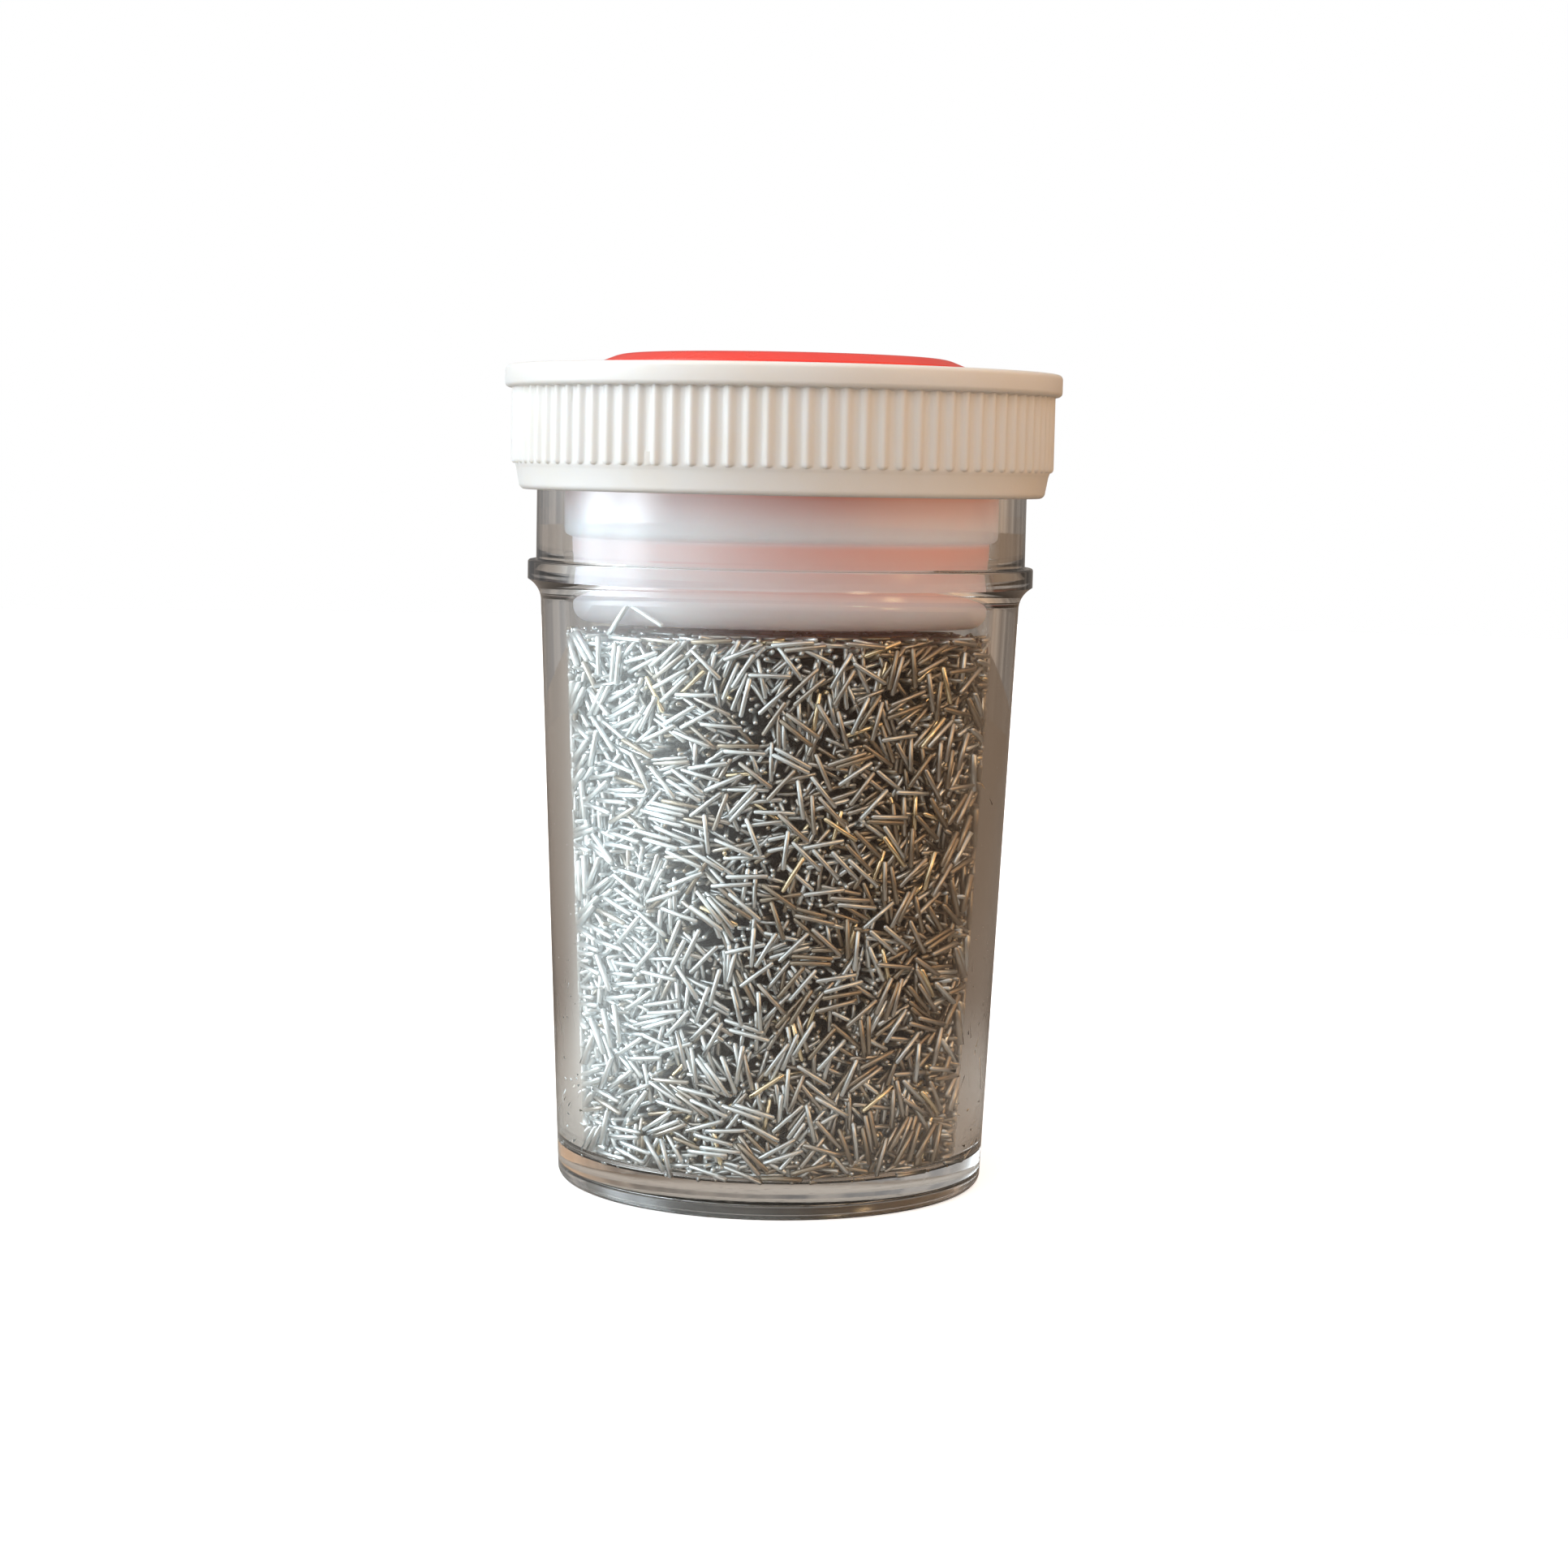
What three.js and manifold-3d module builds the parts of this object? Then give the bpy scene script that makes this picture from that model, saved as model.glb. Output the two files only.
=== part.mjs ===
// Screw-top jar of clear plastic, full of polished steel tumbling pins.
// Millimetres, +Z up, origin at the centre of the base on the plane the jar stands on.
import * as THREE from "three";
import { mergeVertices } from "three/addons/utils/BufferGeometryUtils.js";
import Module from "manifold-3d";

const wasm = await Module();
wasm.setup();

// Driving dimensions

const turnSides = 48; // facets in one full turn of a round part
const wall = 3.1; // jar wall thickness
const jar = {
  lipZ: 99.8, // sealing lip
  neckR: 31.0,
  boreR: 27.8, // straight part of the mouth
  boreEndZ: 80.0,
  ringR: 32.05, // support ring round the neck
  ringTopZ: 78.9,
  ringEdgeZ: 76.5,
  shoulderZ: 74.0,
  shoulderR: 30.35,
  heelR: 27.2, // outer radius where the wall would meet the ground
  heelRound: 1.2,
  footOuterR: 25.9, // standing ring
  footInnerR: 23.6,
  recess: 1.7, // push-up under the base
  floorZ: 4.2,
  floorRound: 1.5,
  edge: 0.3, // broken edges of the ring and the lip
  footRound: 0.5, // inside the standing ring
};
const thread = {
  starts: 3,
  lead: 12.0, // rise in one turn
  jarCrestR: 32.1,
  capCrestR: 31.35,
  rootWidth: 1.6,
  crestWidth: 0.8,
  lowZ: 89.8, // centre line of a ridge at its lower end
  sweep: 220, // degrees round the neck
  fade: 12, // degrees over which each end dies away
  endHeight: 0.1, // share of full height at the very end
  bury: 0.3, // how far a ridge is rooted in its wall
  steps: 22,
  firstStart: 1.7, // degrees, off the facet lines of the wall
};
const cap = {
  topZ: 103.2,
  plate: 2.0, // thickness of the top
  flangeR: 35.15,
  flangeZ: 100.4,
  edgeRound: 0.6,
  ribCrestR: 34.3,
  ribDepth: 0.45,
  ribs: 93,
  ribLowZ: 90.9,
  bandR: 33.7, // plain band under the ribs
  hemR: 33.3,
  hemZ: 87.7,
  hemRound: 0.8,
  skirtR: 32.45, // inside of the skirt
  skirtRound: 0.4, // where the skirt meets the top
  stepHeight: 0.5, // slope from the ribs down to the plain band
  mouthR: 22.0, // opening in the top
};
const disc = {
  edgeR: 23.3,
  crownR: 20.9,
  rise: 1.7, // top above the cap
  dome: 0.2,
  lipRise: 0.6, // height of the upright edge
  rest: 0.05, // gap under the rim
  spigotR: 21.7,
  barbR: 22.3, // snap bead under the cap's top
  barbLow: 0.35, // widest part of the bead, under the cap's top
  barbPlay: 0.15, // room between the bead's shoulder and the cap's top
  reach: 0.7, // how far the spigot goes under the cap's top
  shell: 1.2,
  insideRound: 0.6,
};
const plug = {
  topZ: 101.0,
  flange: 1.0,
  flangeR: 30.8,
  landR: 27.5, // part that seats in the mouth
  landZ: 82.4,
  stemR: 26.5, // narrower part under the step
  stemLowR: 26.25,
  floorZ: 71.8,
  shell: 1.4,
  cornerR: 2.0,
  innerCornerR: 1.0,
  stepHeight: 1.0,
};
const pin = { r: 0.25, length: 5.0, sides: 8 };
const fill = {
  topZ: 70.4,
  wallGap: 1.2, // space for the loose pins at the wall
  floorGap: 0.4,
  cornerLow: 1.2, // slope round the bottom of the bed
  cornerHigh: 0.8, // slope round its top
  wallPins: 36,
  wallPinPlay: 0.2, // between a loose pin and the wall
  topPins: 11,
  topPinSpread: 5.6, // spiral spacing of the pins on top
  topPinPlay: 0.1,
  leanStep: 67, // degrees of lean from one pin to the next
};
const stuckPins = { play: 0.08, azimuths: [226, 235.5], heights: [72.4, 73.1], leans: [49, -27] };

const goldenAngle = 180 * (3 - Math.sqrt(5));
const rad = THREE.MathUtils.degToRad;

// Materials

const material = {
  clearPlastic: new THREE.MeshStandardMaterial({
    color: 0xdfe4e2,
    roughness: 0.04,
    metalness: 0,
    transparent: true,
    opacity: 0.3,
  }),
  whitePlastic: new THREE.MeshStandardMaterial({ color: 0xeef3f3, roughness: 0.42, metalness: 0 }),
  redPlastic: new THREE.MeshStandardMaterial({ color: 0xea4434, roughness: 0.38, metalness: 0 }),
  milkyPlastic: new THREE.MeshStandardMaterial({
    color: 0xf0dcda,
    roughness: 0.45,
    metalness: 0,
    transparent: true,
    opacity: 0.9,
  }),
  steel: new THREE.MeshStandardMaterial({ color: 0xb9bbba, roughness: 0.2, metalness: 1 }),
};

// Geometry helpers

const at = (r, z) => new THREE.Vector2(r, z);

// Points of an arc from one angle to another, in degrees, with both ends.
function arc(r, z, radius, from, to, steps = 4) {
  return Array.from({ length: steps + 1 }, (_, i) => {
    const a = rad(from + ((to - from) * i) / steps);
    return at(r + radius * Math.cos(a), z + radius * Math.sin(a));
  });
}

// A body turned about Z from a profile of (radius, height) points.
function turned(profile) {
  return new THREE.LatheGeometry(profile, turnSides).rotateX(Math.PI / 2);
}

function solidOf(geometry) {
  const bare = new THREE.BufferGeometry();
  bare.setAttribute("position", geometry.getAttribute("position"));
  bare.setIndex(geometry.getIndex());
  const merged = mergeVertices(bare, 1e-4);
  const triVerts = new Uint32Array(merged.index.array);
  const vertProperties = new Float32Array(merged.attributes.position.array);
  return new wasm.Manifold(new wasm.Mesh({ numProp: 3, vertProperties, triVerts }));
}

function geometryOf(solid) {
  const mesh = solid.getMesh();
  const geometry = new THREE.BufferGeometry();
  geometry.setAttribute("position", new THREE.BufferAttribute(mesh.vertProperties, 3));
  geometry.setIndex(new THREE.BufferAttribute(mesh.triVerts, 1));
  geometry.computeVertexNormals();
  return geometry;
}

function part(name, geometry, look) {
  const mesh = new THREE.Mesh(geometry, look);
  mesh.name = name;
  return mesh;
}

// One thread ridge: a straight trapezium bar wrapped round the axis as a helix.
// It grows from the wall at wallR and reaches crestR.
function threadRidge(wallR, crestR, lowZ, startAngle) {
  const rootR = wallR + thread.bury * Math.sign(wallR - crestR);
  const outline = new THREE.Shape([
    at(rootR, -thread.rootWidth / 2),
    at(crestR, -thread.crestWidth / 2),
    at(crestR, thread.crestWidth / 2),
    at(rootR, thread.rootWidth / 2),
  ]);
  const bar = new THREE.ExtrudeGeometry(outline, {
    depth: thread.sweep,
    steps: thread.steps,
    bevelEnabled: false,
  });
  const p = bar.attributes.position;
  for (let i = 0; i < p.count; i++) {
    const turn = thread.sweep - p.getZ(i); // backwards, so the faces still point out
    const toEnd = Math.min(turn, thread.sweep - turn);
    const height = Math.min(1, thread.endHeight + toEnd / thread.fade);
    const r = rootR + (p.getX(i) - rootR) * height;
    const z = lowZ + p.getY(i) * height + (thread.lead * turn) / 360;
    const a = startAngle + rad(turn);
    p.setXYZ(i, r * Math.cos(a), r * Math.sin(a), z);
  }
  return bar;
}

// Every start of a thread, joined to the solid it grows from.
function withThreads(solid, wallR, crestR, lowZ) {
  let joined = solid;
  for (let start = 0; start < thread.starts; start++) {
    const startAngle = rad(thread.firstStart + (360 * start) / thread.starts);
    joined = joined.add(solidOf(threadRidge(wallR, crestR, lowZ, startAngle)));
  }
  return joined;
}

// Outer radius of the tapered body, and inner radius of the jar, at a height.
function bodyAt(z) {
  return THREE.MathUtils.mapLinear(z, 0, jar.shoulderZ, jar.heelR, jar.shoulderR);
}

function boreAt(z) {
  if (z <= jar.shoulderZ) return bodyAt(z) - wall;
  if (z >= jar.boreEndZ) return jar.boreR;
  return THREE.MathUtils.mapLinear(z, jar.shoulderZ, jar.boreEndZ, jar.shoulderR - wall, jar.boreR);
}

// Sub-parts

function makeJar() {
  const cove = new THREE.QuadraticBezierCurve(
    at(jar.shoulderR, jar.shoulderZ),
    at(jar.shoulderR + 0.2, jar.shoulderZ + 1.6),
    at(jar.ringR, jar.ringEdgeZ),
  );
  const profile = [
    at(0, jar.recess),
    at(jar.footInnerR - jar.footRound, jar.recess),
    at(jar.footInnerR, jar.recess - jar.footRound),
    at(jar.footInnerR, 0),
    at(jar.footOuterR, 0),
    ...arc(bodyAt(jar.heelRound) - jar.heelRound, jar.heelRound, jar.heelRound, -75, 0, 3),
    ...cove.getPoints(4),
    at(jar.ringR, jar.ringTopZ - jar.edge),
    at(jar.ringR - jar.edge, jar.ringTopZ),
    at(jar.neckR, jar.ringTopZ),
    at(jar.neckR, jar.lipZ - 2 * jar.edge),
    at(jar.neckR - 2 * jar.edge, jar.lipZ),
    at(jar.boreR + jar.edge, jar.lipZ),
    at(jar.boreR, jar.lipZ - jar.edge),
    at(jar.boreR, jar.boreEndZ),
    at(boreAt(jar.shoulderZ), jar.shoulderZ),
    ...arc(boreAt(jar.floorZ) - jar.floorRound, jar.floorZ + jar.floorRound, jar.floorRound, 0, -90, 3),
    at(0, jar.floorZ),
  ];
  const body = solidOf(turned(profile));
  return geometryOf(withThreads(body, jar.neckR, thread.jarCrestR, thread.lowZ));
}

function makeRibs() {
  const valleyR = cap.ribCrestR - cap.ribDepth;
  const outline = new THREE.Shape();
  const levels = [0, 0.75, 1, 0.75]; // height of the rounded rib at quarters of a pitch
  const count = cap.ribs * levels.length;
  for (let i = 0; i < count; i++) {
    const r = valleyR + cap.ribDepth * levels[i % levels.length];
    const a = (2 * Math.PI * i) / count;
    if (i === 0) outline.moveTo(r * Math.cos(a), r * Math.sin(a));
    else outline.lineTo(r * Math.cos(a), r * Math.sin(a));
  }
  const hole = new THREE.Path();
  hole.absarc(0, 0, (cap.skirtR + valleyR) / 2, 0, 2 * Math.PI, true);
  outline.holes.push(hole);
  const depth = cap.flangeZ - cap.ribLowZ + cap.edgeRound / 2;
  const ribs = new THREE.ExtrudeGeometry(outline, { depth, bevelEnabled: false, curveSegments: turnSides });
  return ribs.translate(0, 0, cap.ribLowZ);
}

function makeCap() {
  const plateZ = cap.topZ - cap.plate;
  const profile = [
    at(cap.mouthR, plateZ),
    at(cap.skirtR - cap.skirtRound, plateZ),
    at(cap.skirtR, plateZ - cap.skirtRound),
    at(cap.skirtR, cap.hemZ),
    ...arc(cap.hemR - cap.hemRound, cap.hemZ + cap.hemRound, cap.hemRound, -60, 0, 2),
    at(cap.bandR, cap.ribLowZ - cap.stepHeight),
    at(cap.bandR, cap.flangeZ),
    ...arc(cap.flangeR - cap.edgeRound, cap.flangeZ + cap.edgeRound, cap.edgeRound, -90, 0, 3),
    ...arc(cap.flangeR - cap.edgeRound, cap.topZ - cap.edgeRound, cap.edgeRound, 0, 90, 3),
    at(cap.mouthR, cap.topZ),
    at(cap.mouthR, plateZ),
  ];
  const shell = solidOf(turned(profile)).add(solidOf(makeRibs()));
  const halfPitch = thread.lead / thread.starts / 2;
  return geometryOf(withThreads(shell, cap.skirtR, thread.capCrestR, thread.lowZ + halfPitch));
}

function makeDisc() {
  const rimZ = cap.topZ + disc.rest;
  const plateZ = cap.topZ - cap.plate;
  const crownZ = cap.topZ + disc.rise;
  const insideR = disc.spigotR - disc.shell;
  const profile = [
    at(0, crownZ - disc.shell),
    at(insideR - disc.insideRound, crownZ - disc.shell),
    at(insideR, crownZ - disc.shell - disc.insideRound),
    at(insideR, plateZ - disc.reach),
    at(disc.spigotR, plateZ - disc.reach),
    at(disc.barbR, plateZ - disc.barbLow),
    at(disc.spigotR, plateZ - disc.barbPlay),
    at(disc.spigotR, rimZ),
    at(disc.edgeR, rimZ),
    at(disc.edgeR, rimZ + disc.lipRise),
    at(disc.crownR, crownZ),
    at(disc.crownR / 2, crownZ + disc.dome * (1 - 0.5 ** 2)),
    at(0, crownZ + disc.dome),
  ];
  return turned(profile);
}

function makePlug() {
  const flangeZ = plug.topZ - plug.flange;
  const stemIn = plug.stemLowR - plug.shell;
  const landIn = plug.landR - plug.shell;
  const outerCorner = [plug.stemLowR - plug.cornerR, plug.floorZ + plug.cornerR];
  const innerCorner = [stemIn - plug.innerCornerR, plug.floorZ + plug.shell + plug.innerCornerR];
  const stepLowZ = plug.landZ - plug.stepHeight / 2;
  const stepHighZ = plug.landZ + plug.stepHeight / 2;
  const profile = [
    at(0, plug.floorZ),
    ...arc(...outerCorner, plug.cornerR, -90, 0, 4),
    at(plug.stemR, stepLowZ),
    at(plug.landR, stepHighZ),
    at(plug.landR, flangeZ),
    at(plug.flangeR, flangeZ),
    at(plug.flangeR, plug.topZ),
    at(landIn, plug.topZ),
    at(landIn, stepHighZ),
    at(plug.stemR - plug.shell, stepLowZ),
    ...arc(...innerCorner, plug.innerCornerR, 0, -90, 3),
    at(0, plug.floorZ + plug.shell),
  ];
  return turned(profile);
}

function makeBed() {
  const lowZ = jar.floorZ + fill.floorGap;
  const r = (z) => boreAt(z) - fill.wallGap;
  const profile = [
    at(0, lowZ),
    at(r(lowZ) - fill.cornerLow, lowZ),
    at(r(lowZ + fill.cornerLow), lowZ + fill.cornerLow),
    at(r(fill.topZ - fill.cornerHigh), fill.topZ - fill.cornerHigh),
    at(r(fill.topZ) - fill.cornerHigh, fill.topZ),
    at(0, fill.topZ),
  ];
  return turned(profile);
}

// A loose pin centred on a point, lying along a direction.
function makePin(name, centre, direction) {
  const geometry = new THREE.CylinderGeometry(pin.r, pin.r, pin.length, pin.sides);
  const mesh = part(name, geometry, material.steel);
  mesh.position.copy(centre);
  mesh.quaternion.setFromUnitVectors(new THREE.Vector3(0, 1, 0), direction.normalize());
  return mesh;
}

// A pin flat against the inside of the wall: where it is round the jar, its height,
// how far it leans from level, and the play it has from the wall.
function wallPin(name, azimuth, z, lean, play) {
  const a = rad(azimuth);
  const outward = new THREE.Vector3(Math.cos(a), Math.sin(a), 0);
  const along = new THREE.Vector3(-Math.sin(a), Math.cos(a), 0);
  const slope = boreAt(z + 1) - boreAt(z);
  const up = outward.clone().multiplyScalar(slope);
  up.z = 1;
  up.normalize();
  const direction = along.multiplyScalar(Math.cos(rad(lean))).addScaledVector(up, Math.sin(rad(lean)));
  const halfChord = (pin.length / 2) * Math.cos(rad(lean));
  const sagitta = halfChord ** 2 / (2 * boreAt(z));
  const centre = outward.multiplyScalar(boreAt(z) - pin.r - sagitta - play);
  centre.z = z;
  return makePin(name, centre, direction);
}

function makePins() {
  const pins = [];
  const nextName = () => "pin_" + String(pins.length + 1).padStart(2, "0");
  const lowest = jar.floorZ + pin.length;
  const highest = fill.topZ - pin.length;
  for (let i = 0; i < fill.wallPins; i++) {
    const z = lowest + ((highest - lowest) * i) / (fill.wallPins - 1);
    const lean = ((i * fill.leanStep) % 180) - 90;
    pins.push(wallPin(nextName(), i * goldenAngle, z, lean, fill.wallPinPlay));
  }
  for (let i = 0; i < fill.topPins; i++) {
    const a = rad(i * goldenAngle);
    const r = fill.topPinSpread * Math.sqrt(i + 0.5);
    const z = fill.topZ + pin.r + fill.topPinPlay;
    const centre = new THREE.Vector3(r * Math.cos(a), r * Math.sin(a), z);
    const turn = rad(i * fill.leanStep);
    pins.push(makePin(nextName(), centre, new THREE.Vector3(Math.cos(turn), Math.sin(turn), 0)));
  }
  // Two pins stuck between the plug and the wall, leaning on each other.
  stuckPins.azimuths.forEach((azimuth, i) => {
    const name = nextName();
    pins.push(wallPin(name, azimuth, stuckPins.heights[i], stuckPins.leans[i], stuckPins.play));
  });
  return pins;
}

// Assembly

const sampleJar = new THREE.Group();
const vessel = new THREE.Group();
vessel.add(part("jar", makeJar(), material.clearPlastic));
vessel.add(part("pin_bed", makeBed(), material.steel));
vessel.add(...makePins());
const closure = new THREE.Group();
closure.add(part("plug_cup", makePlug(), material.milkyPlastic));
closure.add(part("cap_ring", makeCap(), material.whitePlastic));
closure.add(part("red_disc", makeDisc(), material.redPlastic));
sampleJar.add(vessel, closure);

export default sampleJar;
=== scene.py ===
# Looks of the screw-top jar full of steel tumbling pins. Metres, +Z up, front towards -Y.
import math

import bpy
import numpy as np
from mathutils import Matrix, Vector


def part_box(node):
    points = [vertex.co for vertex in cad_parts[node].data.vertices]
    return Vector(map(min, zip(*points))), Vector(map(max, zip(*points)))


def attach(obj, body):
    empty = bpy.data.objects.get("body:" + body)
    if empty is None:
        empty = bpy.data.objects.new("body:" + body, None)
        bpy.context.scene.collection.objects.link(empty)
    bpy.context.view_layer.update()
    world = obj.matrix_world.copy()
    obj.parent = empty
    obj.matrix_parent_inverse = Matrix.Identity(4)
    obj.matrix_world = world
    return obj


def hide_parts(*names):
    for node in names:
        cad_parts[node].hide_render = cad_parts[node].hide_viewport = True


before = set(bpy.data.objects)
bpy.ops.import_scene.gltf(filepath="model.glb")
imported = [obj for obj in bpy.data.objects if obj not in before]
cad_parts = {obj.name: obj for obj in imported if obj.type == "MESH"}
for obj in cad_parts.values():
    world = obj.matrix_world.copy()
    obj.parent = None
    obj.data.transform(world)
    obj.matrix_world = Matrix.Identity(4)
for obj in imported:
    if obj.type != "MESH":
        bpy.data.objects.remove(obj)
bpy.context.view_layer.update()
mm = 0.001
doubles = 0.002 * mm  # points closer than this are merged


# Small helpers for modelling

def deselectAll():
    if bpy.context.object and bpy.context.object.mode != "OBJECT":
        bpy.ops.object.mode_set(mode="OBJECT")
    bpy.ops.object.select_all(action="DESELECT")


def pick(*pieces):  # the last one becomes active
    deselectAll()
    for piece in pieces:
        piece.select_set(True)
    bpy.context.view_layer.objects.active = pieces[-1]


def arcPoints(r, z, radius, start, end, steps=6):  # (radius, height) points, angles in degrees
    angles = [math.radians(start + (end - start) * i / steps) for i in range(steps + 1)]
    return [(r + radius * math.cos(a), z + radius * math.sin(a)) for a in angles]


def curvePoints(a, b, c, steps=8):  # a soft curve from a to c, drawn towards b
    shares = [((1 - i / steps) ** 2, 2 * i / steps * (1 - i / steps), (i / steps) ** 2) for i in range(steps + 1)]
    return [tuple(u * p + v * q + w * s for p, q, s in zip(a, b, c)) for u, v, w in shares]


def turnedPiece(name, profile, steps):  # turns (radius, height) points in millimetres about Z
    deselectAll()
    points = [Vector((r * mm, 0, z * mm)) for r, z in profile]
    bpy.ops.mesh.primitive_plane_add(size=mm)
    piece = bpy.context.object
    piece.name = name
    bpy.ops.object.mode_set(mode="EDIT")
    bpy.ops.mesh.select_mode(type="VERT")
    bpy.ops.mesh.select_all(action="SELECT")
    bpy.ops.mesh.merge(type="CENTER")
    bpy.ops.transform.translate(value=points[0])
    for here, there in zip(points, points[1:]):
        bpy.ops.mesh.extrude_region_move(TRANSFORM_OT_translate={"value": there - here})
    bpy.ops.mesh.select_all(action="SELECT")
    bpy.ops.mesh.spin(steps=steps, angle=2 * math.pi, center=(0, 0, 0), axis=(0, 0, 1))
    bpy.ops.mesh.select_all(action="SELECT")
    bpy.ops.mesh.remove_doubles(threshold=doubles)
    bpy.ops.mesh.normals_make_consistent(inside=False)
    bpy.ops.object.mode_set(mode="OBJECT")
    return piece


def joined(pieces, name):
    pick(*pieces[::-1])
    bpy.ops.object.join()
    piece = bpy.context.object
    piece.name = name
    return piece


def unite(piece, tool):
    pick(piece)
    union = piece.modifiers.new("union", "BOOLEAN")
    union.operation = "UNION"
    union.solver = "EXACT"
    union.object = tool
    bpy.ops.object.modifier_apply(modifier=union.name)
    bpy.data.objects.remove(tool)
    bpy.ops.object.mode_set(mode="EDIT")
    bpy.ops.mesh.select_all(action="SELECT")
    bpy.ops.mesh.remove_doubles(threshold=doubles)
    bpy.ops.mesh.normals_make_consistent(inside=False)
    bpy.ops.object.mode_set(mode="OBJECT")


def smooth(piece, degrees):
    pick(piece)
    bpy.ops.object.shade_smooth_by_angle(angle=math.radians(degrees))


def finishPiece(piece, body, nodes=(), material=None):  # nodes are the ones it stands for
    if material:
        piece.data.materials.clear()
        piece.data.materials.append(material)
    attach(piece, body)
    if nodes:
        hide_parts(*nodes)
    print(piece.name, "done,", len(piece.data.polygons), "faces")


# Small helpers for shaders

class Shade:  # an output socket that is written with like a number
    def __init__(self, tree, socket=None):
        self.tree = tree
        self.socket = socket

    def node(self, kind, settings=None, inputs=None, output=0):
        made = self.tree.nodes.new(kind)
        for key, value in (settings or {}).items():
            setattr(made, key, value)
        for key, value in (inputs or {}).items():
            if isinstance(value, Shade):
                self.tree.links.new(value.socket, made.inputs[key])
            else:
                made.inputs[key].default_value = value
        return Shade(self.tree, made.outputs[output] if made.outputs else None)

    def maths(self, operation, first, second=0.0):
        return self.node("ShaderNodeMath", {"operation": operation}, {0: first, 1: second})

    def __add__(self, other):
        return self.maths("ADD", self, other)

    def __radd__(self, other):
        return self.maths("ADD", other, self)

    def __sub__(self, other):
        return self.maths("SUBTRACT", self, other)

    def __rsub__(self, other):
        return self.maths("SUBTRACT", other, self)

    def __mul__(self, other):
        return self.maths("MULTIPLY", self, other)

    def __rmul__(self, other):
        return self.maths("MULTIPLY", other, self)

    def __pow__(self, other):
        return self.maths("POWER", self, other)

    def between(self, low, high):  # 0 at low and 1 at high, softly
        settings = {"interpolation_type": "SMOOTHSTEP"}
        return self.node("ShaderNodeMapRange", settings, {"Value": self, "From Min": low, "From Max": high})

    def mix(self, first, second):  # this number is the share of the second colour
        return self.node("ShaderNodeMix", {"data_type": "RGBA"}, {0: self, 6: first, 7: second}, 2)

    def place(self):  # object coordinates
        return self.node("ShaderNodeTexCoord", output=3)

    def height(self):
        return self.node("ShaderNodeSeparateXYZ", inputs={0: self.place()}, output=2)

    def across(self):
        return self.node("ShaderNodeSeparateXYZ", inputs={0: self.place()}, output=0)

    def noise(self, scale, detail=2.0, stretch=(1, 1, 1)):
        where = self.node("ShaderNodeMapping", inputs={"Vector": self.place(), "Scale": stretch})
        return self.node("ShaderNodeTexNoise", inputs={"Vector": where, "Scale": scale, "Detail": detail})

    def bump(self, height, depth, strength):
        return self.node("ShaderNodeBump", inputs={"Height": height, "Distance": depth, "Strength": strength})


def colour(red, green, blue):
    return (red, green, blue, 1)


def newMaterial(name, fixed, varied=None):  # varied takes a Shade and gives what changes over the surface
    material = bpy.data.materials.new(name)
    material.use_nodes = True
    shader = material.node_tree.nodes["Principled BSDF"]
    for key, value in fixed.items():
        shader.inputs[key].default_value = value
    if varied:
        for key, value in varied(Shade(material.node_tree)).items():
            material.node_tree.links.new(value.socket, shader.inputs[key])
    return material


# Camera, floor and light

view = {
    "place": (0.0002, -0.403, 0.0911),
    "pitch": 5.73,  # degrees down
    "roll": -1.13,
    "lens": 72.58,
}
room = {
    "floorRadius": 1.5,
    "paper": colour(0.93, 0.93, 0.93),  # floor as the camera sees it
    "paperGlow": 0.62,
    "tableLitNear": colour(0.50, 0.47, 0.43),  # what the clear plastic and the steel see of the floor, with painted light near the object
    "tableLitLeft": colour(0.30, 0.275, 0.25),
    "tableShadedRight": colour(0.175, 0.13, 0.095),
    "tableSides": 0.25,  # from here outwards the table has its left or right colour: painted light at the left, painted shade at the right
    "tableFades": (0.04, 0.13),  # distances between which the near colour ends
    "backdrop": colour(1, 1, 1),
    "walls": colour(0.24, 0.20, 0.165),
    "wallsShaded": colour(0.05, 0.04, 0.035),
    "streaks": 7.0,  # how fine the light and dark uprights of the walls are
    "streakEdges": (0.36, 0.64),
    "streaksFront": 0.25,  # how strong they are before the object, where 1 is behind it
    "glows": [  # direction, sharpness, sharpness round the room, light
        ((-0.95, -0.26, 0.18), 4.0, 40.0, (4.4, 4.9, 5.25)),
        ((-0.98, 0.12, 0.18), 4.0, 40.0, (4.4, 4.9, 5.25)),
        ((-0.80, -0.55, 0.20), 4.0, 0.0, (0.98, 1.08, 1.14)),
        ((-0.70, 0.70, 0.0), 3.0, 0.0, (0.20, 0.21, 0.22)),
        ((0.70, 0.70, 0.0), 3.0, 0.0, (0.10, 0.09, 0.08)),
        ((-0.08, -0.85, 0.52), 9.0, 0.0, (1.02, 1.03, 1.02)),
        ((0.0, 0.0, 1.0), 3.0, 0.0, (0.68, 0.68, 0.68)),
        ((0.92, -0.25, 0.20), 3.0, 0.0, (0.98, 0.50, 0.19)),
        ((0.62, -0.70, 0.42), 260.0, 0.0, (6.0, 4.5, 2.8)),
        ((0.80, -0.50, 0.20), 260.0, 0.0, (6.0, 4.0, 2.1)),
    ],
    "shineFrom": Vector((-0.94, -0.34, 0.0)),  # a pale window that only smooth faces mirror
    "shineSharpness": 4.5,
    "shine": colour(0.88, 0.98, 1.0),
    "shineRoom": 0.4,  # its light in the room and on the table
    "shineTable": 1.9,
    "shineFades": (0.03, 0.12),  # distances between which its light on the table starts
}


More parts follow.
